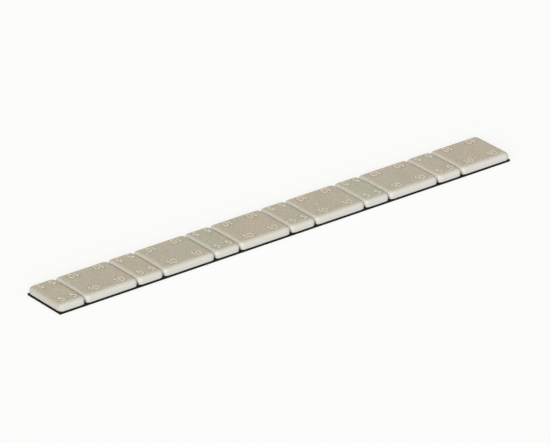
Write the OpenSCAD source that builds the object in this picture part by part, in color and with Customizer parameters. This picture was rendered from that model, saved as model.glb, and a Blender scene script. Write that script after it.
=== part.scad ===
// Adhesive wheel balance weight: a strip of soft-edged steel blocks on one foam tape.
// Light and heavy blocks take turns along X, and the release liner lies on z = 0.
// The origin is the middle of the strip, on the underside of the liner.

/* [Strip] */
// Number of pairs, each one light and one heavy block
pair_count = 6; // [1:1:12]
// Width of the strip, across
strip_w = 19; // [14:0.5:26]
// Clear gap between neighbouring blocks
block_gap = 0.2; // [0.1:0.05:1]
// How far the tape stands past the last block at each end
tape_margin = 0.15; // [0:0.05:1]

/* [Steel blocks] */
// Length of a light block, 5 g
light_l = 10.8; // [8:0.1:14]
// Length of a heavy block, 10 g
heavy_l = 22; // [16:0.1:28]
// Height of the steel
steel_h = 3.1; // [2.6:0.1:5]
// Width of the rolled edge along the two long sides
side_roll_w = 2.3; // [1:0.1:3]
// Width of the rolled edge at the two ends
end_roll_w = 2.3; // [1:0.1:3]
// Height of the rolled edge, all round
roll_h = 1.8; // [1:0.1:2.2]
// Fullness of the roll's curve: 2 is an ellipse and more is fuller
roll_fullness = 2.8; // [2:0.1:3.5]
// Fullness of the corners, seen from above: 2 is an ellipse and more is squarer
corner_fullness = 3; // [2:0.1:4]
// Chamfer of the lower edge
heel = 0.3; // [0.1:0.05:0.35]

/* [Tape and liner] */
// Thickness of the foam tape
tape_t = 0.7; // [0.4:0.05:1.2]
// Thickness of the release liner
liner_t = 0.08; // [0.05:0.01:0.2]

/* [Smoothness] */
// Number of faces round a full turn of a block's corner
corner_faces = 32; // [16:4:36]
// Number of levels over a rolled edge
roll_levels = 8; // [4:1:8]

/* [Hidden] */
pair_l = light_l + heavy_l + 2 * block_gap;
blocks_l = pair_count * pair_l - block_gap;
tape_l = blocks_l + 2 * tape_margin;
steel_z = liner_t + tape_t;
wall_top = steel_h - roll_h;
corner_points = round(corner_faces / 4) + 1;

// Left end of pair number i
function pair_x(i) = (i - 1) * pair_l - blocks_l / 2;

// A quarter curve of a given fullness, from [1, 0] round to [0, 1]
function full_curve(angle, fullness) =
    [pow(cos(angle), 2 / fullness), pow(sin(angle), 2 / fullness)];

// The curve over the roll: how far out and how far up each level is, from the wall to the flat top
function roll_curve(level) =
    full_curve(90 * level / roll_levels, roll_fullness);

// Outline of a block at one level, counterclockwise; reach is how far it stands out past the
// flat top, along X and Y
function outline(length, reach, z) = [
    for (quarter = [0:3], k = [0:corner_points - 1])
        let (
            turn = quarter % 2 == 0 ? k : corner_points - 1 - k,
            curve = full_curve(90 * turn / (corner_points - 1), corner_fullness),
            along = quarter == 0 || quarter == 3 ? 1 : -1,
            across = quarter < 2 ? 1 : -1
        )
        [
            along * (length / 2 - end_roll_w + reach[0] * curve[0]),
            across * (strip_w / 2 - side_roll_w + reach[1] * curve[1]),
            z
        ]
];

// The four corners of the flat top
function flat_top(length) = [
    for (corner = [[1, 1], [-1, 1], [-1, -1], [1, -1]])
        [corner[0] * (length / 2 - end_roll_w), corner[1] * (strip_w / 2 - side_roll_w), steel_h]
];

// Steel block on its lower face, lofted from outlines: a chamfered heel, an upright wall and a roll
module block(length) {
    ring = 4 * corner_points;
    wall = [end_roll_w, side_roll_w];
    levels = concat(
        [[wall - [heel, heel], 0], [wall, heel], [wall, wall_top]],
        [for (level = [1:roll_levels - 1])
            [wall * roll_curve(level)[0], wall_top + roll_h * roll_curve(level)[1]]]
    );
    last = len(levels) - 1;
    top = (last + 1) * ring;
    polyhedron(
        points = concat([for (level = levels) each outline(length, level[0], level[1])], flat_top(length)),
        faces = concat(
            [[for (k = [0:ring - 1]) k]],
            [for (level = [0:last - 1], k = [0:ring - 1])
                [level * ring + k, (level + 1) * ring + k,
                 (level + 1) * ring + (k + 1) % ring, level * ring + (k + 1) % ring]],
            [for (corner = [0:3], k = [0:corner_points - 2])
                let (at = last * ring + corner * corner_points + k) [at, top + corner, at + 1]],
            [for (corner = [0:3])
                let (at = last * ring + (corner + 1) * corner_points - 1, next = (corner + 1) % 4)
                [at, top + corner, top + next, last * ring + next * corner_points]],
            [[top + 3, top + 2, top + 1, top]]
        )
    );
}

module light_block(i) {
    color([0.72, 0.70, 0.63])
        translate([pair_x(i) + light_l / 2, 0, steel_z])
            block(light_l);
}

module heavy_block(i) {
    color([0.70, 0.69, 0.63])
        translate([pair_x(i) + light_l + block_gap + heavy_l / 2, 0, steel_z])
            block(heavy_l);
}

module adhesive_tape() {
    color([0.06, 0.06, 0.07])
        translate([-tape_l / 2, -strip_w / 2, liner_t])
            cube([tape_l, strip_w, tape_t]);
}

module release_liner() {
    color([0.93, 0.93, 0.90])
        translate([-tape_l / 2, -strip_w / 2, 0])
            cube([tape_l, strip_w, liner_t]);
}

for (i = [1:pair_count]) {
    light_block(i);
    heavy_block(i);
}
adhesive_tape();
release_liner();
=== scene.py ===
"""Dresses an adhesive wheel balance weight.

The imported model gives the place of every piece: twelve steel blocks in a row, a black foam tape
under them and a release liner under the tape. This script builds each block again as a smooth
coated casting with raised numbers, cuts the tape's foam edges, and gives every piece its finish.
Lengths are in millimetres unless a name ends in _m.
"""

from __future__ import annotations

import itertools
import logging
import math
from dataclasses import dataclass, field
from enum import Enum

import bpy
import numpy as np
from mathutils import Matrix, Vector, noise

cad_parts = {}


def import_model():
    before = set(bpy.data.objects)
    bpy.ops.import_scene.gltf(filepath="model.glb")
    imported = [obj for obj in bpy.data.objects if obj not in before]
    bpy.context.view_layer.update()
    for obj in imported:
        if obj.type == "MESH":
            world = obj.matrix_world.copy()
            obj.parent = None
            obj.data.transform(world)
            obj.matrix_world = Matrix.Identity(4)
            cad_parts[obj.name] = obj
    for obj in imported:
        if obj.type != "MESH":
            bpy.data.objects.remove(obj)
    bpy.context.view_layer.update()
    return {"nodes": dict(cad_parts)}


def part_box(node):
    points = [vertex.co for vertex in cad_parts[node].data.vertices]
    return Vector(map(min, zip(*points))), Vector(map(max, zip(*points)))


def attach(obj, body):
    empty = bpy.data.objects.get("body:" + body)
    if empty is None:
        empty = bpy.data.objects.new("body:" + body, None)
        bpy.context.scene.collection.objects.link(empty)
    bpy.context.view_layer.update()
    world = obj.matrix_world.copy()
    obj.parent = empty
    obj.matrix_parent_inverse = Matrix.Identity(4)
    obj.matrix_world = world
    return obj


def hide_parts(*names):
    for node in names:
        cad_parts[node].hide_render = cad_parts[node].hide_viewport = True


LOG = logging.getLogger("balance_weight")
MM = 0.001
BODY = "root"
TOLERANCE = 1e-6
NOISE_RANGE = (0.3, 0.7)  # nearly all of a noise lies between these values
Colour = tuple[float, float, float]


class BlockKind(Enum):
    """The two blocks of the strip, named by the weight that each one carries."""

    LIGHT = "5"
    HEAVY = "10"


class Tone(Enum):
    """Small differences of tint between blocks of one coating batch."""

    WARM = (1.01, 1.0, 0.985)
    PLAIN = (1.0, 1.0, 1.0)
    COOL = (0.955, 1.01, 0.995)


# Number shapes


@dataclass(frozen=True)
class NumberStyle:
    """Proportions of the raised numbers, measured along the middle of their strokes.

    Args:
        height: Height of a digit.
        round_width: Width of the digits 0 and 5.
        stroke: Width of a stroke at half its height.
        shoulder: Width of the soft flank beside a stroke.
        relief: How far a number stands above the plain face.
        outline: Width of the darker outline round a stroke, painted shade with some dust.
        margin: Width of the finely meshed border round a number.
        one_left: How far the 1 of a 10 stands left of its middle.
        zero_right: How far its 0 stands right of the middle.
        stem: How far the stem of a 1 stands right of the digit's middle.
        flag: Width and height of the slanted stroke of a 1.
        bowl: Height of the bowl of a 5 from its middle, as a share of the digit's.
        bowl_turn: Where the bowl starts and ends, in degrees from the right.
        bar: Where the top bar of a 5 starts and ends, as shares of half its width.
        round_points: Number of points round a 0, and along the bowl of a 5.
    """

    height: float = 2.75
    round_width: float = 1.65
    stroke: float = 0.45
    shoulder: float = 0.2
    relief: float = 0.22
    outline: float = 0.2
    margin: float = 0.5
    one_left: float = 1.15
    zero_right: float = 0.8
    stem: float = 0.1
    flag: tuple[float, float] = (0.647, 0.5)
    bowl: float = 0.33
    bowl_turn: tuple[float, float] = (132.0, -142.0)
    bar: tuple[float, float] = (0.85, -0.68)
    round_points: tuple[int, int] = (41, 31)

    def offsets(self, text: str) -> tuple[float, ...]:
        """Gives how far each digit of a number lies from the number's middle."""
        return (-self.one_left, self.zero_right) if text == "10" else (0.0,)

    def reach(self, text: str) -> float:
        """Gives how far a number reaches from its middle, with its outline."""
        return abs(self.offsets(text)[-1]) + self.round_width / 2 + self.margin

    def digit(self, name: str) -> list[np.ndarray]:
        """Gives the strokes of one digit, centred on the origin.

        Args:
            name: "0", "1" or "5".

        Returns:
            One array of points for each stroke.
        """
        half_h = self.height / 2
        half_w = self.round_width / 2
        if name == "1":
            flag = np.array([(self.stem - self.flag[0], half_h - self.flag[1]), (self.stem, half_h)])
            stem = np.array([(self.stem, half_h), (self.stem, -half_h)])
            return [flag, stem]
        if name == "0":
            turn = np.linspace(0, math.tau, self.round_points[0])
            rise = half_h - half_w
            lift = np.where(np.sin(turn) >= 0, rise, -rise)
            ring = np.column_stack([half_w * np.cos(turn), half_w * np.sin(turn) + lift])
            return [np.vstack([ring, ring[:1]])]
        bowl_h = self.bowl * self.height
        turn = np.radians(np.linspace(*self.bowl_turn, self.round_points[1]))
        bowl = np.column_stack([half_w * np.cos(turn), bowl_h * (1 + np.sin(turn)) - half_h])
        right, left = ((share * half_w, half_h) for share in self.bar)
        return [np.array([right, left]), np.array([left, tuple(bowl[0])]), bowl]


@dataclass(frozen=True)
class RaisedNumber:
    """One number that stands up from a block's face.

    Args:
        text: The digits.
        x: Middle of the number along the strip, from the block's middle.
        y: Middle of the number across the strip.
        turned: True where it is read from the other side.
        style: Proportions of the digits.
    """

    text: str
    x: float
    y: float
    turned: bool
    style: NumberStyle

    def strokes(self) -> list[np.ndarray]:
        """Gives every stroke of the number in the block's own frame."""
        turn = -1.0 if self.turned else 1.0
        placed = []
        for offset, name in zip(self.style.offsets(self.text), self.text):
            for stroke in self.style.digit(name):
                shifted = (stroke + np.array([offset, 0.0])) * turn
                placed.append(shifted + np.array([self.x, self.y]))
        return placed

    def relief(self, points: np.ndarray) -> tuple[np.ndarray, np.ndarray]:
        """Gives the number's height, and the crease round it, over each point of the face.

        Args:
            points: N by 2 array of places on the block's face.

        Returns:
            N shares of the full height, and N shares of the crease's depth.
        """
        nearest = np.full(len(points), np.inf)
        for stroke in self.strokes():
            for start, end in zip(stroke[:-1], stroke[1:]):
                along = end - start
                share = ((points - start) @ along) / max(float(along @ along), TOLERANCE)
                foot = start + np.clip(share, 0, 1)[:, None] * along
                nearest = np.minimum(nearest, np.linalg.norm(points - foot, axis=1))
        inner = (self.style.stroke - self.style.shoulder) / 2
        fall = np.clip((nearest - inner) / self.style.shoulder, 0, 1)
        # Beside a stroke lies the crease, where the face gets painted shade with some dust.
        beside = (nearest - inner - self.style.shoulder) / self.style.outline
        return 0.5 + 0.5 * np.cos(math.pi * fall), np.exp(-(beside**2))


# Mesh building


def grid_lines(
    low: float, high: float, fine: list[tuple[float, float]], step: float, fine_step: float
) -> np.ndarray:
    """Spaces grid lines evenly, and closer together inside the fine stretches.

    Args:
        low: First line.
        high: Last line.
        fine: Stretches that need close lines.
        step: Largest spacing elsewhere.
        fine_step: Largest spacing inside the fine stretches.

    Returns:
        The sorted places of the lines.
    """
    knots = sorted({low, high, *(min(max(k, low), high) for pair in fine for k in pair)})
    lines = [low]
    for start, end in zip(knots[:-1], knots[1:]):
        middle = (start + end) / 2
        close = any(a <= middle <= b for a, b in fine)
        count = max(1, math.ceil((end - start) / (fine_step if close else step) - TOLERANCE))
        lines.extend(np.linspace(start, end, count + 1)[1:])
    return np.array(lines)


def mesh_object(name: str, points_mm: np.ndarray, faces: list[tuple[int, ...]]) -> bpy.types.Object:
    """Makes a smooth-shaded mesh object from points in millimetres.

    Args:
        name: Name of the piece.
        points_mm: N by 3 array in the strip's frame.
        faces: Corner numbers of each face, seen from outside.

    Returns:
        The new object, linked to the scene.
    """
    mesh = bpy.data.meshes.new(name)
    mesh.from_pydata([tuple(p) for p in points_mm * MM], [], faces)
    mesh.update()
    mesh.shade_smooth()
    piece = bpy.data.objects.new(name, mesh)
    bpy.context.scene.collection.objects.link(piece)
    return piece


def add_point_mask(piece: bpy.types.Object, name: str, values: np.ndarray) -> None:
    """Stores a value for each point, for the finishes to read.

    Args:
        piece: The object that gets the values.
        name: Name of the attribute.
        values: One value for each point.
    """
    layer = piece.data.attributes.new(name, "FLOAT", "POINT")
    layer.data.foreach_set("value", values.astype(np.float32))


def grid_ring(columns: int, rows: int) -> list[int]:
    """Gives the numbers of a grid's outer points, counterclockwise from its first corner.

    Args:
        columns: Number of points along the first direction.
        rows: Number of points along the second direction.

    Returns:
        The point numbers, for points stored row by row.
    """
    bottom = list(range(columns))
    right = [row * columns + columns - 1 for row in range(1, rows)]
    top = [(rows - 1) * columns + column for column in range(columns - 2, -1, -1)]
    left = [row * columns for row in range(rows - 2, 0, -1)]
    return bottom + right + top + left


def grid_faces(columns: int, rows: int, start: int = 0, upward: bool = True) -> list[tuple[int, ...]]:
    """Gives the four-sided faces of a grid whose points are stored row by row.

    Args:
        columns: Number of points along the first direction.
        rows: Number of points along the second direction.
        start: Number of the grid's first point.
        upward: True for faces that look up.

    Returns:
        The corner numbers of each face.
    """
    faces = []
    for row in range(rows - 1):
        for column in range(columns - 1):
            a = start + row * columns + column
            corners = (a, a + 1, a + columns + 1, a + columns)
            faces.append(corners if upward else corners[::-1])
    return faces


def band_faces(upper: list[int], lower: list[int]) -> list[tuple[int, ...]]:
    """Joins two rings of points with outward faces, the upper ring being above the lower.

    Args:
        upper: Point numbers of the upper ring, counterclockwise from above.
        lower: Point numbers of the lower ring in the same order.

    Returns:
        The corner numbers of each face.
    """
    count = len(upper)
    return [
        (upper[i], lower[i], lower[(i + 1) % count], upper[(i + 1) % count])
        for i in range(count)
    ]


def skirted_faces(columns: int, rows: int, levels: int) -> tuple[list[tuple[int, ...]], list[int]]:
    """Joins a grid, seen from above, and the rings of points that hang under its outer points.

    Args:
        columns: Number of the grid's points along the first direction.
        rows: Number of its points along the second direction.
        levels: Number of rings, each stored after the one above it.

    Returns:
        The corner numbers of each face, and the point numbers of the lowest ring.
    """
    faces = grid_faces(columns, rows)
    upper = grid_ring(columns, rows)
    for level in range(levels):
        start = columns * rows + level * len(upper)
        lower = list(range(start, start + len(upper)))
        faces += band_faces(upper, lower)
        upper = lower
    return faces, upper


def fade(place: np.ndarray, full: float, gone: np.ndarray | float) -> np.ndarray:
    """Gives 1 where a place is at or beyond the full mark, falling to 0 at the gone mark.

    Args:
        place: Distance of each point.
        full: Distance at which the value is 1.
        gone: Distance at which it is 0, on either side of the full mark.

    Returns:
        One value for each point.
    """
    return np.clip((gone - place) / (gone - full), 0, 1)


@dataclass(frozen=True)
class CoatingZones:
    """Where one block gets a painted highlight on its rolled edges, painted shade in its seams, painted
    shadow at their foot and painted shade low on the strip's own ends.

    Each pair gives the distance at which a zone is full, and the one at which it is gone.

    Args:
        middle: Middle of the block.
        half: Half of the block along X and Y.
        base: Height of its underside.
        face: Height of its plain face.
        outer: -1 or 1 where its left or right end is the strip's own end, otherwise 0.
        side_rim: How far the painted highlight rim reaches in from a long edge.
        seam_rim: How far it reaches in from a neighbour.
        end_rim: How far it reaches in from the strip's own end.
        rim_share: Strength of the rim at a block's ends; it is 1 along the long edges.
        seam_shade_depth: Painted shade in a seam, by how deep it lies under the face.
        seam_shade_reach: The same painted shade, by how far it lies in from the seam.
        seam_shade_front: The same painted shade, by how far it lies in from a long edge.
        foot_shade_height: Painted shadow at the foot of a seam, by its height over the tape.
        foot_shade_reach: The same painted shadow, by how far it lies in from the seam.
        end_shade_depth: Painted shade low on the strip's own ends, by how deep it lies under the face.
        end_shade_reach: The same painted shade, by how far it lies in from the end.
    """

    middle: np.ndarray
    half: np.ndarray
    base: float
    face: float
    outer: int
    side_rim: float = 3.5
    seam_rim: float = 1.7
    end_rim: float = 1.1
    rim_share: float = 0.8
    seam_shade_depth: tuple[float, float] = (1.2, 0.4)
    seam_shade_reach: tuple[float, float] = (0.0, 0.7)
    seam_shade_front: tuple[float, float] = (4.0, 1.5)
    foot_shade_height: tuple[float, float] = (0.3, 1.5)
    foot_shade_reach: tuple[float, float] = (0.096, 0.48)
    end_shade_depth: tuple[float, float] = (0.8, 1.9)
    end_shade_reach: tuple[float, float] = (0.8, 1.9)

    def masks(self, points: np.ndarray) -> dict[str, np.ndarray]:
        """Gives how strongly each zone shows at each point.

        Args:
            points: N by 3 array in the strip's frame.

        Returns:
            N values from 0 to 1 for each zone, by the zone's name.
        """
        from_end, from_side = (self.half - np.abs(points[:, :2] - self.middle[:2])).T
        depth = self.face - points[:, 2]
        open_end = np.where(points[:, 0] < self.middle[0], self.outer == -1, self.outer == 1)
        rim = np.where(open_end, self.end_rim, self.seam_rim)
        # Painted highlight: the rolled edges are painted paler, as where the light falls on them.
        side = fade(from_side, 0, self.side_rim) ** 3
        end = self.rim_share * fade(from_end, 0, rim) ** 2
        # Painted shade in the seams between blocks.
        dust_and_shade = fade(depth, *self.seam_shade_depth) * fade(from_side, *self.seam_shade_front)
        # Painted shadow at the foot of each seam, laid on as a dark band.
        foot_shade = fade(points[:, 2] - self.base, *self.foot_shade_height) * fade(from_end, *self.foot_shade_reach)
        # Painted shade low on the strip's own ends, darkening the light that falls there.
        end_shade = fade(depth, *self.end_shade_depth) * fade(from_end, *self.end_shade_reach)
        return {
            "edge": 1 - (1 - side) * (1 - end),
            "seam": dust_and_shade * fade(from_end, *self.seam_shade_reach) * ~open_end,
            "foot": foot_shade * ~open_end,
            "end_shade": end_shade * open_end,
        }


@dataclass
class SteelBlock:
    """A coated steel block with rolled edges and raised numbers.

    Args:
        node: Name of the solid that it stands for.
        kind: Which of the two blocks it is.
        tone: Tint of its coating.
        outer: -1 or 1 where its left or right end is the strip's own end, otherwise 0.
        side_roll: Width of the rolled edge along the two long sides of the strip.
        end_roll: Width of the rolled edge at the block's two ends.
        roll_height: Height of the rolled edge.
        fullness: Exponent of the roll's curve; 2 is a plain ellipse and more is fuller.
        squareness: Exponent of the corners seen from above; 2 is a plain ellipse.
        heel: Radius of the lower edge.
        heel_turns: Where that edge has its mesh lines, in degrees from the wall.
        ripple: Height of the slow waves in the pressed face.
        wave: Length of those waves.
        light_spread: How far each number lies from the middle of a light block, along the strip.
        heavy_spread: The same for a heavy block.
        row: How far each row of numbers lies from the middle of the strip.
        roll_steps: Number of mesh lines over a rolled edge.
        step: Spacing of the mesh on plain stretches.
        mark_step: Spacing of the mesh under the numbers.
        clear: How near a line of the numbers, and one of the plain stretches, may come to a line
            that is there already.
        style: Proportions of the numbers.
    """

    node: str
    kind: BlockKind
    tone: Tone
    outer: int = 0
    side_roll: float = 2.3
    end_roll: float = 2.3
    roll_height: float = 1.8
    fullness: float = 2.8
    squareness: float = 3.0
    heel: float = 0.3
    heel_turns: tuple[float, ...] = (30.0, 60.0, 90.0)
    ripple: float = 0.02
    wave: float = 5.0
    light_spread: float = 2.45
    heavy_spread: float = 5.4
    row: float = 6.1
    roll_steps: int = 14
    step: float = 0.9
    mark_step: float = 0.11
    clear: tuple[float, float] = (0.04, 0.3)
    style: NumberStyle = field(default_factory=NumberStyle)

    def numbers(self) -> list[RaisedNumber]:
        """Gives the block's numbers: a pair along each long edge, each pair read from its own side."""
        away = self.light_spread if self.kind is BlockKind.LIGHT else self.heavy_spread
        return [
            RaisedNumber(self.kind.value, place * away, side * self.row, side > 0, self.style)
            for side in (-1, 1)
            for place in (-1, 1)
        ]

    def mesh_lines(self, edge: float, reach: float, marked: list[tuple[float, float]]) -> np.ndarray:
        """Spaces the top's mesh lines along one direction, closest on the rolls and under the numbers.

        Args:
            edge: Half of the block in this direction.
            reach: Width of the rolled edge in this direction.
            marked: Stretches that numbers cover.

        Returns:
            The sorted places of the lines.
        """
        turn = np.linspace(0, math.pi / 2, self.roll_steps + 1)
        roll = edge - reach * (1 - np.sin(turn) ** (2 / self.fullness))
        kept = [*(-roll), *roll]
        stretches = [(low, high, self.mark_step, self.clear[0]) for low, high in marked]
        for low, high, step, clear in [*stretches, (-edge, edge, self.step, self.clear[1])]:
            places = np.linspace(low, high, math.ceil((high - low) / step))
            kept += [p for p in places if min(abs(p - k) for k in kept) > clear]
        return np.unique(np.round(kept, 5))

    def loft(self, plan: np.ndarray, half: np.ndarray) -> tuple[np.ndarray, np.ndarray]:
        """Lays points of a plain rectangle over the block's rolled top.

        Args:
            plan: N by 2 array of points on the rectangle.
            half: Half of the block along X and Y.

        Returns:
            N by 3 array of points, from the middle of the plain face, and each point's share of
            the way over the rolled edge.
        """
        reach = np.array([self.end_roll, self.side_roll])
        core = np.clip(plan, reach - half, half - reach)
        push = np.abs(plan - core) / reach
        share = np.clip(push.max(axis=1), 0, 1)
        length = np.maximum((push**self.squareness).sum(axis=1) ** (1 / self.squareness), TOLERANCE)
        moved = core + (plan - core) * (share / length)[:, None]
        drop = 1 - (1 - share**self.fullness) ** (1 / self.fullness)
        return np.column_stack([moved, -self.roll_height * drop]), share

    def skirt(self, rim: np.ndarray, half: np.ndarray, face: float) -> list[np.ndarray]:
        """Hangs rings of points under the rim of the rolled edge, down to the underside.

        Args:
            rim: N by 2 array of the rolled edge's lowest points.
            half: Half of the block along X and Y.
            face: Height of the plain face over the underside.

        Returns:
            The rings from the wall's middle downward, as N by 3 arrays.
        """
        still = np.ones(2)
        levels = [((face - self.roll_height + self.heel) / 2, still), (self.heel, still)]
        for turn in np.radians(self.heel_turns):
            inward = 1 - self.heel * (1 - math.cos(turn)) / half
            levels.append((self.heel * (1 - math.sin(turn)), inward))
        return [np.column_stack([rim * inward, np.full(len(rim), height)]) for height, inward in levels]

    def build(self) -> bpy.types.Object:
        """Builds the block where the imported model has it.

        Returns:
            The finished piece, riding on the strip.
        """
        low, high = (np.array(corner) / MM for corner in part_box(self.node))
        half = np.round((high - low)[:2] / 2, 4)
        middle = (low + high) / 2
        face = high[2] - low[2] - self.style.relief
        numbers = self.numbers()
        wide = self.style.reach(self.kind.value)
        tall = self.style.height / 2 + self.style.margin
        xs = self.mesh_lines(half[0], self.end_roll, [(n.x - wide, n.x + wide) for n in numbers[:2]])
        ys = self.mesh_lines(half[1], self.side_roll, [(n.y - tall, n.y + tall) for n in numbers[::2]])
        gx, gy = np.meshgrid(xs, ys)
        top, share = self.loft(np.column_stack([gx.ravel(), gy.ravel()]), half)
        marks = [number.relief(top[:, :2]) for number in numbers]
        mark, crease = (np.max(heights, axis=0) for heights in zip(*marks))
        places = [Vector((x / self.wave, y / self.wave, middle[0])) for x, y, _ in top]
        waves = np.array([0.5 + noise.noise(place) / 2 for place in places])
        top[:, 2] += face + mark * self.style.relief - self.ripple * (1 - share) * waves
        rings = self.skirt(top[grid_ring(len(xs), len(ys)), :2], half, face)
        points = np.vstack([top, *rings])
        points[:, 0] += middle[0]
        points[:, 2] += low[2]
        faces, underside = skirted_faces(len(xs), len(ys), len(rings))
        faces.append(tuple(reversed(underside)))
        piece = mesh_object(f"{self.node}_coated", points, faces)
        below = np.zeros(len(points) - len(top))
        zones = CoatingZones(middle, half, low[2], low[2] + face, self.outer)
        add_point_mask(piece, "mark", np.concatenate([mark, below]))
        add_point_mask(piece, "crease", np.concatenate([crease, below]))
        for name, values in zones.masks(points).items():
            add_point_mask(piece, name, values)
        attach(piece, BODY)
        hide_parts(self.node)
        return piece


@dataclass
class FoamTape:
    """The black foam tape, with cut edges that show the foam's cells.

    Args:
        node: Name of the solid that it stands for.
        step: Spacing of the mesh along the tape.
        border: Width of the finer mesh along the edges.
        edge_levels: Number of mesh levels over the tape's thickness.
        cut_depth: How far the cut edge dips between cells.
        cell_size: Size of the cells that show at the cut.
    """

    node: str = "adhesive_tape"
    step: float = 0.35
    border: float = 1.0
    edge_levels: int = 5
    cut_depth: float = 0.05
    cell_size: float = 0.45

    def build(self) -> bpy.types.Object:
        """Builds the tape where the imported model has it.

        Returns:
            The finished piece, riding on the strip.
        """
        low, high = (np.array(corner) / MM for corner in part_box(self.node))
        ends = [(low[0], low[0] + self.border), (high[0] - self.border, high[0])]
        sides = [(low[1], low[1] + self.border), (high[1] - self.border, high[1])]
        xs = grid_lines(low[0], high[0], ends, self.step, self.step)
        ys = grid_lines(low[1], high[1], sides, 2 * self.step, self.step)
        gx, gy = np.meshgrid(xs, ys)
        sheet = np.column_stack([gx.ravel(), gy.ravel()])
        ring = grid_ring(len(xs), len(ys))
        rim = sheet[ring]
        outward = np.sign(rim) * (np.abs(rim) > high[:2] - TOLERANCE)
        layers = [np.column_stack([sheet, np.full(len(sheet), high[2])])]
        for height in np.linspace(high[2], low[2], self.edge_levels + 2)[1:-1]:
            level = np.column_stack([rim, np.full(len(rim), height)])
            dips = np.array([0.5 + 0.5 * noise.noise(Vector(p) / self.cell_size) for p in level])
            level[:, :2] -= outward * (self.cut_depth * dips)[:, None]
            layers.append(level)
        layers.append(np.column_stack([sheet, np.full(len(sheet), low[2])]))
        points = np.vstack(layers)
        faces, lowest = skirted_faces(len(xs), len(ys), self.edge_levels)
        under = len(points) - len(sheet)
        faces += band_faces(lowest, [under + i for i in ring])
        faces += grid_faces(len(xs), len(ys), under, upward=False)
        piece = mesh_object(f"{self.node}_foam", points, faces)
        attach(piece, BODY)
        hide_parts(self.node)
        return piece


# Finishes


def new_group(
    name: str, inputs: dict[str, tuple[str, float]], outputs: dict[str, str]
) -> bpy.types.NodeTree:
    """Starts a shader node group with named sockets.

    Args:
        name: Name of the group.
        inputs: Socket type and default of each input.
        outputs: Socket type of each output.

    Returns:
        The group, with its input and output nodes in place.
    """
    group = bpy.data.node_groups.new(name, "ShaderNodeTree")
    for label, (kind, default) in inputs.items():
        socket = group.interface.new_socket(label, in_out="INPUT", socket_type=kind)
        if kind == "NodeSocketFloat":
            socket.default_value = default
    for label, kind in outputs.items():
        group.interface.new_socket(label, in_out="OUTPUT", socket_type=kind)
    group.nodes.new("NodeGroupInput").name = "in"
    group.nodes.new("NodeGroupOutput").name = "out"
    return group


def add_node(
    tree: bpy.types.NodeTree, kind: str, settings: dict[str, object] | None = None, **sockets: object
) -> bpy.types.Node:
    """Adds a node, sets its options and fills or links its inputs.

    Args:
        tree: The node tree.
        kind: Blender's name of the node type.
        settings: Options of the node itself.
        **sockets: A value or an output socket for each input, named with underscores for spaces.

    Returns:
        The new node.
    """
    node = tree.nodes.new(kind)
    for option, value in (settings or {}).items():
        setattr(node, option, value)
    for label, value in sockets.items():
        socket = node.inputs[label.replace("_", " ")]
        if isinstance(value, bpy.types.NodeSocket):
            tree.links.new(value, socket)
        else:
            socket.default_value = value
    return node


def blend_colour(
    tree: bpy.types.NodeTree,
    factor: bpy.types.NodeSocket,
    first: bpy.types.NodeSocket | Colour,
    second: bpy.types.NodeSocket | Colour,
) -> bpy.types.NodeSocket:
    """Blends two colours.

    Args:
        tree: The node tree.
        factor: Share of the second colour.
        first: Colour or socket where the factor is 0.
        second: Colour or socket where the factor is 1.

    Returns:
        The blended colour.
    """
    node = tree.nodes.new("ShaderNodeMix")
    node.data_type = "RGBA"
    tree.links.new(factor, node.inputs["Factor"])
    for label, value in (("A", first), ("B", second)):
        if isinstance(value, bpy.types.NodeSocket):
            tree.links.new(value, node.inputs[label])
        else:
            node.inputs[label].default_value = (*value, 1)
    return node.outputs["Result"]


def spread(
    tree: bpy.types.NodeTree,
    value: bpy.types.NodeSocket,
    source: tuple[float, float],
    target: tuple[float, float] = (0.0, 1.0),
) -> bpy.types.NodeSocket:
    """Stretches a value from one range to another, held at both ends.

    Args:
        tree: The node tree.
        value: The value.
        source: Range that it comes from.
        target: Range that it goes to.

    Returns:
        The stretched value.
    """
    node = tree.nodes.new("ShaderNodeMapRange")
    tree.links.new(value, node.inputs["Value"])
    for label, number in zip(("From Min", "From Max", "To Min", "To Max"), (*source, *target)):
        node.inputs[label].default_value = number
    return node.outputs["Result"]


def noise_value(
    tree: bpy.types.NodeTree,
    place: bpy.types.NodeSocket,
    scale: bpy.types.NodeSocket | float,
    detail: float,
    roughness: float = 0.5,
) -> bpy.types.NodeSocket:
    """Adds a soft noise.

    Args:
        tree: The node tree.
        place: Where the noise is read.
        scale: Number of its waves in a metre.
        detail: Number of finer noises laid over the first.
        roughness: Strength of each finer noise.

    Returns:
        The noise, from 0 to 1.
    """
    settings = {"Vector": place, "Scale": scale, "Detail": detail, "Roughness": roughness}
    return add_node(tree, "ShaderNodeTexNoise", **settings).outputs["Fac"]


def place_grain(
    tree: bpy.types.NodeTree,
    group: bpy.types.NodeTree,
    place: bpy.types.NodeSocket,
    scales: tuple[float, float],
) -> bpy.types.bpy_prop_collection:
    """Places the shared grain in a material.

    Args:
        tree: The material's node tree.
        group: The shared grain group.
        place: Where the grain is read.
        scales: Number of grains, and of patches, in a metre.

    Returns:
        The group's outputs, by name.
    """
    grain, patches = scales
    settings = {"Place": place, "Scale": grain, "Patches": patches}
    return add_node(tree, "ShaderNodeGroup", {"node_tree": group}, **settings).outputs


def scaled(colour: Colour, factors: Colour) -> Colour:
    """Multiplies a colour channel by channel."""
    return tuple(c * f for c, f in zip(colour, factors))


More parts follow.
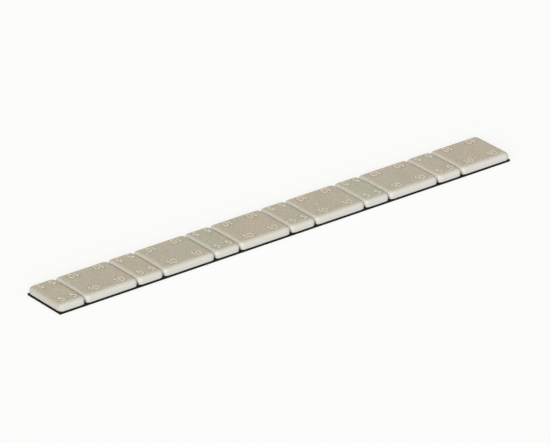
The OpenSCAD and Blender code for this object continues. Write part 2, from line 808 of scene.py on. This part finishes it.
def add_surface(
    tree: bpy.types.NodeTree,
    shader: bpy.types.Node,
    colour: bpy.types.NodeSocket,
    roughness: bpy.types.NodeSocket,
    height: bpy.types.NodeSocket,
    bump: tuple[float, float],
) -> None:
    """Gives a shader its colour, roughness and bumps.

    Args:
        tree: The node tree.
        shader: The shader.
        colour: Its colour.
        roughness: Its roughness.
        height: Height of the bumps, from 0 to 1.
        bump: How strongly they show, and the height of a full bump in metres.
    """
    strength, depth_m = bump
    bumps = add_node(tree, "ShaderNodeBump", Height=height, Strength=strength, Distance=depth_m)
    values = {"Base Color": colour, "Roughness": roughness, "Normal": bumps.outputs["Normal"]}
    for label, value in values.items():
        tree.links.new(value, shader.inputs[label])


def seen_directly(tree: bpy.types.NodeTree) -> bpy.types.NodeSocket:
    """Gives 1 for the rays that show a surface itself or its mirror image, and 0 for its light.

    Args:
        tree: The node tree.

    Returns:
        The value.
    """
    path = add_node(tree, "ShaderNodeLightPath").outputs
    seen = path["Is Camera Ray"]
    for ray in ("Is Glossy Ray", "Is Transmission Ray"):
        either = add_node(tree, "ShaderNodeMath", {"operation": "MAXIMUM"})
        tree.links.new(seen, either.inputs[0])
        tree.links.new(path[ray], either.inputs[1])
        seen = either.outputs["Value"]
    return seen


def grain_group() -> bpy.types.NodeTree:
    """Builds the fine grain that coating, foam and liner all show, each at its own scale.

    Returns:
        A group that takes a place and a scale, and gives a height, a mottle of twice its size and
        a mask of cloudy patches.
    """
    group = new_group(
        "fine_grain",
        {
            "Place": ("NodeSocketVector", 0.0),
            "Scale": ("NodeSocketFloat", 1000.0),
            "Patches": ("NodeSocketFloat", 60.0),
        },
        {"Height": "NodeSocketFloat", "Mottle": "NodeSocketFloat", "Patch": "NodeSocketFloat"},
    )
    place, scale, patches = (group.nodes["in"].outputs[name] for name in ("Place", "Scale", "Patches"))
    halved = add_node(group, "ShaderNodeMath", {"operation": "MULTIPLY"})
    group.links.new(scale, halved.inputs[0])
    halved.inputs[1].default_value = 0.5
    values = {
        "Height": noise_value(group, place, scale, 3.0, 0.6),
        "Mottle": noise_value(group, place, halved.outputs["Value"], 2.0),
        "Patch": noise_value(group, place, patches, 2.0),
    }
    for label, value in values.items():
        group.links.new(value, group.nodes["out"].inputs[label])
    return group


def start_material(name: str) -> tuple[bpy.types.Material, bpy.types.Node, bpy.types.NodeSocket]:
    """Starts a node material.

    Args:
        name: Name of the finish.

    Returns:
        The material, its Principled shader and the place on the object in metres.
    """
    material = bpy.data.materials.new(name)
    material.use_nodes = True
    shader = material.node_tree.nodes["Principled BSDF"]
    place = add_node(material.node_tree, "ShaderNodeTexCoord").outputs["Object"]
    return material, shader, place


@dataclass(frozen=True)
class Layer:
    """Something that lies over a coating, or painted light or shade on it, where a mask or a noise says
    so.

    Args:
        source: Name of the mask, or the noise itself.
        rise: Values of the source between which the layer comes in.
        strength: Share of its colour where it is full.
        colour: Its colour.
    """

    source: str | bpy.types.NodeSocket
    rise: tuple[float, float]
    strength: float
    colour: Colour

    def cover(self, tree: bpy.types.NodeTree, under: bpy.types.NodeSocket) -> bpy.types.NodeSocket:
        """Lays the layer over a colour.

        Args:
            tree: The material's node tree.
            under: The colour under it.

        Returns:
            The colour with the layer on it.
        """
        value = self.source
        if isinstance(value, str):
            value = add_node(tree, "ShaderNodeAttribute", {"attribute_name": value}).outputs["Fac"]
        share = spread(tree, value, self.rise, (0.0, self.strength))
        return blend_colour(tree, share, under, self.colour)


@dataclass(frozen=True)
class CoatedSteel:
    """Soft grey coating over steel.

    Args:
        colour: Colour of the coating on the face.
        rim_highlight: Paler colour over the rolled edges, a painted highlight.
        rub_and_highlight: Paler colour of the raised numbers' tops, a painted highlight with some
            rubbing wear.
        dust_and_shade: Colour of the painted shade in the seams, of the painted shade with some dust
            round the numbers, and of the dust specks.
        painted_shade_colour: Colour of the painted shadow at the foot of a seam, and of the painted
            shade low on the strip's own ends.
        rosy: Factors of the slow drift to red.
        sage: Factors of the slow drift to green.
        drift: Values of the slow noise between which the drift goes from red to green.
        cloud: Factor of the darker patches.
        mottle: How far the soft mottle strays to each side of the colour, as a share of it.
        grain: How far the fine grain does.
        roughness: Lowest and highest roughness.
        gloss: Strength of the shine.
        bump: Strength of the bumps, and the height of a full bump in metres.
        scales: Number of grains, and of darker patches, in a metre.
        drift_scale: Number of waves of the slow drift in a metre.
        speck_scale: Number of waves in a metre of the noise whose peaks are dark specks.
    """

    colour: Colour = (0.488, 0.435, 0.333)
    rim_highlight: Colour = (0.645, 0.635, 0.580)
    rub_and_highlight: Colour = (0.82, 0.75, 0.63)
    dust_and_shade: Colour = (0.27, 0.22, 0.145)
    painted_shade_colour: Colour = (0.03, 0.029, 0.027)
    rosy: Colour = (1.025, 0.985, 0.985)
    sage: Colour = (0.95, 1.0, 0.985)
    drift: tuple[float, float] = (0.35, 0.65)
    cloud: float = 0.94
    mottle: float = 0.07
    grain: float = 0.19
    roughness: tuple[float, float] = (0.45, 0.55)
    gloss: float = 0.5
    bump: tuple[float, float] = (0.3, 0.00002)
    scales: tuple[float, float] = (2600.0, 150.0)
    drift_scale: float = 75.0
    speck_scale: float = 5200.0

    def material(self, tone: Tone, grain: bpy.types.NodeTree) -> bpy.types.Material:
        """Builds the coating in one tint.

        Args:
            tone: Tint of the coating.
            grain: The shared grain group.

        Returns:
            The material.
        """
        material, shader, place = start_material(f"soft_grey_coating_{tone.name.lower()}")
        tree = material.node_tree
        grains = place_grain(tree, grain, place, self.scales)
        base = scaled(self.colour, tone.value)
        swing = spread(tree, noise_value(tree, place, self.drift_scale, 1.0), self.drift)
        tint = blend_colour(tree, swing, scaled(base, self.rosy), scaled(base, self.sage))
        clouds = Layer(grains["Patch"], (0.4, 0.8), 0.7, scaled(base, (self.cloud,) * 3))
        tint = clouds.cover(tree, tint)
        for name, stray in (("Mottle", self.mottle), ("Height", self.grain)):
            shade = spread(tree, grains[name], NOISE_RANGE, (1 - stray, 1 + stray))
            scaling = {"operation": "SCALE"}
            shaded = add_node(tree, "ShaderNodeVectorMath", scaling, Vector=tint, Scale=shade)
            tint = shaded.outputs["Vector"]
        layers = (
            # Painted highlight on the rolled edges.
            Layer("edge", (0.0, 1.0), 1.0, self.rim_highlight),
            # Painted shade in the seams.
            Layer("seam", (0.0, 0.7), 0.75, self.dust_and_shade),
            # Painted shadow at the foot of each seam.
            Layer("foot", (0.0, 1.0), 1.0, self.painted_shade_colour),
            # Painted shade low on the strip's own ends.
            Layer("end_shade", (0.0, 1.0), 0.13, self.painted_shade_colour),
            # Painted shade, with some dust, round each number.
            Layer("crease", (0.1, 1.0), 0.75, self.dust_and_shade),
            # Painted highlight, with some rubbing wear, on the numbers' tops.
            Layer("mark", (0.5, 1.0), 1.0, self.rub_and_highlight),
            Layer(noise_value(tree, place, self.speck_scale, 2.0), (0.66, 0.72), 0.4, self.dust_and_shade),
        )
        for layer in layers:
            tint = layer.cover(tree, tint)
        rough = spread(tree, grains["Height"], NOISE_RANGE, self.roughness)
        add_surface(tree, shader, tint, rough, grains["Height"], self.bump)
        shader.inputs["Specular IOR Level"].default_value = self.gloss
        return material


@dataclass(frozen=True)
class BlackFoam:
    """Black closed-cell foam.

    Args:
        colour: Colour of the cell walls.
        cell_shade: Darker colour in the pits of the cells, painted shade.
        roughness: Lowest and highest roughness.
        gloss: Strength of the shine.
        bump: Strength of the bumps, and the depth of a cell in metres.
        scales: Number of grains, and of smoother patches, in a metre.
        cell_scale: Number of cells in a metre.
        cell_rise: Distances from a cell's middle between which its wall comes in.
    """

    colour: Colour = (0.011, 0.011, 0.012)
    cell_shade: Colour = (0.003, 0.003, 0.0035)
    roughness: tuple[float, float] = (0.8, 0.98)
    gloss: float = 0.15
    bump: tuple[float, float] = (0.6, 0.00006)
    scales: tuple[float, float] = (4200.0, 420.0)
    cell_scale: float = 5200.0
    cell_rise: tuple[float, float] = (0.1, 0.7)

    def material(self, grain: bpy.types.NodeTree) -> bpy.types.Material:
        """Builds the foam.

        Args:
            grain: The shared grain group.

        Returns:
            The material.
        """
        material, shader, place = start_material("black_foam")
        tree = material.node_tree
        grains = place_grain(tree, grain, place, self.scales)
        voronoi = add_node(tree, "ShaderNodeTexVoronoi", Vector=place, Scale=self.cell_scale)
        cells = voronoi.outputs["Distance"]
        # Painted shade: the pits of the cells are darker than their walls.
        tint = blend_colour(tree, spread(tree, cells, self.cell_rise), self.cell_shade, self.colour)
        rough = spread(tree, grains["Patch"], NOISE_RANGE, self.roughness)
        add_surface(tree, shader, tint, rough, cells, self.bump)
        shader.inputs["Specular IOR Level"].default_value = self.gloss
        return material


@dataclass(frozen=True)
class LinerPaper:
    """Off-white release paper with a slick face.

    Args:
        colour: Colour of the paper.
        fibre: Colour of its fibres.
        drawn_out: Scale of the fibres along each direction; less than 1 makes them longer.
        roughness: Lowest and highest roughness.
        bump: Strength of the bumps, and the height of a full bump in metres.
        scales: Number of fibres across them, and of smoother patches, in a metre.
    """

    colour: Colour = (0.86, 0.85, 0.81)
    fibre: Colour = (0.79, 0.78, 0.73)
    drawn_out: tuple[float, float, float] = (0.35, 1.0, 1.0)
    roughness: tuple[float, float] = (0.3, 0.45)
    bump: tuple[float, float] = (0.2, 0.00002)
    scales: tuple[float, float] = (3000.0, 240.0)

    def material(self, grain: bpy.types.NodeTree) -> bpy.types.Material:
        """Builds the liner's paper.

        Args:
            grain: The shared grain group.

        Returns:
            The material.
        """
        material, shader, place = start_material("release_paper")
        tree = material.node_tree
        drawn = add_node(tree, "ShaderNodeMapping", Vector=place, Scale=self.drawn_out).outputs["Vector"]
        grains = place_grain(tree, grain, drawn, self.scales)
        tint = blend_colour(tree, grains["Height"], self.fibre, self.colour)
        rough = spread(tree, grains["Patch"], (0.0, 1.0), self.roughness)
        add_surface(tree, shader, tint, rough, grains["Height"], self.bump)
        return material


# Stage


@dataclass(frozen=True)
class Studio:
    """A pale floor, a soft surround and the camera.

    Args:
        yaw: Angle of the camera's sight line from +Y towards +X, in degrees.
        pitch: Angle of the sight line below the horizon, in degrees.
        lens: Focal length.
        sensor: Width of the camera's sensor.
        clip_m: Distances between which the camera sees things.
        distance_m: Distance from the camera to the point that it looks at.
        aim_m: The point in the middle of the picture.
        key_bearing: Bearing of the front light's beam from +Y towards +X, in degrees.
        key_rise: Height of the front light above the horizon, in degrees.
        key_width: Angle that the front light fills, in degrees.
        key_strength: Strength of the front light in watts a square metre.
        key_colour: Colour of the front light.
        surround: Colour of the light from all round.
        horizon: Colour behind the floor's far edge, as the camera sees it.
        floor: Colour of the floor.
        floor_roughness: Roughness of the floor.
        floor_gloss: Strength of its shine.
        floor_m: Width of the floor.
        floor_fill: Share of white that the floor adds for the camera.
        floor_drop_m: How far the floor lies under the liner.
    """

    yaw: float = 37.9
    pitch: float = 25.8
    lens: float = 350.8
    sensor: float = 36.0
    clip_m: tuple[float, float] = (0.05, 20.0)
    distance_m: float = 1.8766
    aim_m: tuple[float, float, float] = (0.0, 0.0, 0.002)
    key_bearing: float = 43.0
    key_rise: float = 29.0
    key_width: float = 46.0
    key_strength: float = 2.8
    key_colour: Colour = (1.0, 1.0, 1.0)
    surround: Colour = (0.43, 0.427, 0.42)
    horizon: Colour = (0.97, 0.97, 0.96)
    floor: Colour = (0.54, 0.54, 0.535)
    floor_roughness: float = 0.9
    floor_gloss: float = 0.1
    floor_m: float = 12.0
    floor_fill: float = 0.5
    floor_drop_m: float = 0.00003

    def beam(self, bearing: float, dip: float) -> Vector:
        """Gives the direction at a bearing from +Y towards +X and a dip, both in degrees."""
        turn, fall = math.radians(bearing), math.radians(dip)
        level = math.cos(fall)
        return Vector((math.sin(turn) * level, math.cos(turn) * level, -math.sin(fall)))

    def build_camera(self) -> None:
        """Puts the camera where the photograph was taken from."""
        data = bpy.data.cameras.new("camera")
        data.lens = self.lens
        data.sensor_width = self.sensor
        data.clip_start, data.clip_end = self.clip_m
        camera = bpy.data.objects.new("camera", data)
        sight = self.beam(self.yaw, self.pitch)
        camera.matrix_world = self.looking(sight, Vector(self.aim_m) - sight * self.distance_m)
        bpy.context.scene.collection.objects.link(camera)
        bpy.context.scene.camera = camera

    def looking(self, direction: Vector, place: Vector) -> Matrix:
        """Gives the matrix of something at a place that looks in a direction.

        Args:
            direction: Where it looks.
            place: Where it is.

        Returns:
            The matrix, with -Z along the direction and Y upward.
        """
        turn = direction.to_track_quat("-Z", "Y").to_matrix().to_4x4()
        return Matrix.Translation(place) @ turn

    def build_key(self) -> None:
        """Hangs the wide front light, from beside the camera and evenly over the whole floor."""
        data = bpy.data.lights.new("front_light", "SUN")
        data.energy = self.key_strength
        data.angle = math.radians(self.key_width)
        data.color = self.key_colour
        lamp = bpy.data.objects.new("front_light", data)
        aim = self.beam(self.key_bearing, self.key_rise)
        lamp.matrix_world = self.looking(aim, -aim)
        bpy.context.scene.collection.objects.link(lamp)

    def build_floor(self) -> None:
        """Lays the floor, which looks white to the camera and keeps the strip's shadow."""
        half, low = self.floor_m / 2, -self.floor_drop_m
        mesh = bpy.data.meshes.new("floor")
        square = [(-half, -half, low), (half, -half, low), (half, half, low), (-half, half, low)]
        mesh.from_pydata(square, [], [(0, 1, 2, 3)])
        floor = bpy.data.objects.new("floor", mesh)
        bpy.context.scene.collection.objects.link(floor)
        material, shader, _ = start_material("pale_floor")
        tree = material.node_tree
        shader.inputs["Base Color"].default_value = (*self.floor, 1)
        shader.inputs["Roughness"].default_value = self.floor_roughness
        shader.inputs["Specular IOR Level"].default_value = self.floor_gloss
        shader.inputs["Emission Color"].default_value = (1, 1, 1, 1)
        glow = spread(tree, seen_directly(tree), (0.0, 1.0), (0.0, self.floor_fill))
        tree.links.new(glow, shader.inputs["Emission Strength"])
        floor.data.materials.append(material)

    def build_surround(self) -> None:
        """Sets the even soft light all round, which the camera sees as white."""
        world = bpy.data.worlds.new("soft_surround")
        world.use_nodes = True
        tree = world.node_tree
        shade = blend_colour(tree, seen_directly(tree), self.surround, self.horizon)
        tree.links.new(shade, tree.nodes["Background"].inputs["Color"])
        bpy.context.scene.world = world

    def build(self) -> None:
        """Builds the whole stage."""
        bpy.context.scene.view_settings.view_transform = "Standard"
        self.build_camera()
        self.build_floor()
        self.build_surround()
        self.build_key()


@dataclass
class WeightStrip:
    """The whole strip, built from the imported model's pieces."""

    coating: CoatedSteel = field(default_factory=CoatedSteel)
    foam: BlackFoam = field(default_factory=BlackFoam)
    paper: LinerPaper = field(default_factory=LinerPaper)

    def blocks(self, nodes: list[str]) -> list[SteelBlock]:
        """Lists the blocks from left to right.

        Args:
            nodes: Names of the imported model's nodes.

        Returns:
            One block for each steel node.
        """
        steel = sorted((n for n in nodes if n.startswith("weight_")), key=lambda n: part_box(n)[0].x)
        first = (Tone.WARM, Tone.PLAIN, Tone.WARM, Tone.PLAIN, Tone.COOL, Tone.WARM)
        second = (Tone.PLAIN, Tone.WARM, Tone.COOL, Tone.PLAIN, Tone.PLAIN, Tone.PLAIN)
        outer = [-1, *[0] * (len(steel) - 2), 1]
        return [
            SteelBlock(node, BlockKind.HEAVY if "10g" in node else BlockKind.LIGHT, tone, end)
            for node, tone, end in zip(steel, itertools.cycle(first + second), outer)
        ]

    def build(self, nodes: dict[str, bpy.types.Object]) -> None:
        """Builds and dresses every piece.

        Args:
            nodes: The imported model's objects by name.
        """
        grain = grain_group()
        coatings = {tone: self.coating.material(tone, grain) for tone in Tone}
        for block in self.blocks(list(nodes)):
            piece = block.build()
            piece.data.materials.append(coatings[block.tone])
            LOG.info("%s: %d faces", piece.name, len(piece.data.polygons))
        tape = FoamTape().build()
        tape.data.materials.append(self.foam.material(grain))
        LOG.info("%s: %d faces", tape.name, len(tape.data.polygons))
        liner = nodes["release_liner"]
        liner.data.materials.clear()
        liner.data.materials.append(self.paper.material(grain))
        LOG.info("%s dressed as release paper", liner.name)


def corners(bounds: tuple[Vector, Vector]) -> list[list[float]]:
    """Turns a pair of corners into plain lists.

    Args:
        bounds: Lowest and highest corner.

    Returns:
        The corners as lists of numbers.
    """
    return [list(corner) for corner in bounds]


def main() -> None:
    """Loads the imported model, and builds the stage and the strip."""
    logging.basicConfig(level=logging.INFO, format="%(message)s")
    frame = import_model()
    Studio().build()
    WeightStrip().build(frame["nodes"])


if __name__ == "__main__":
    main()
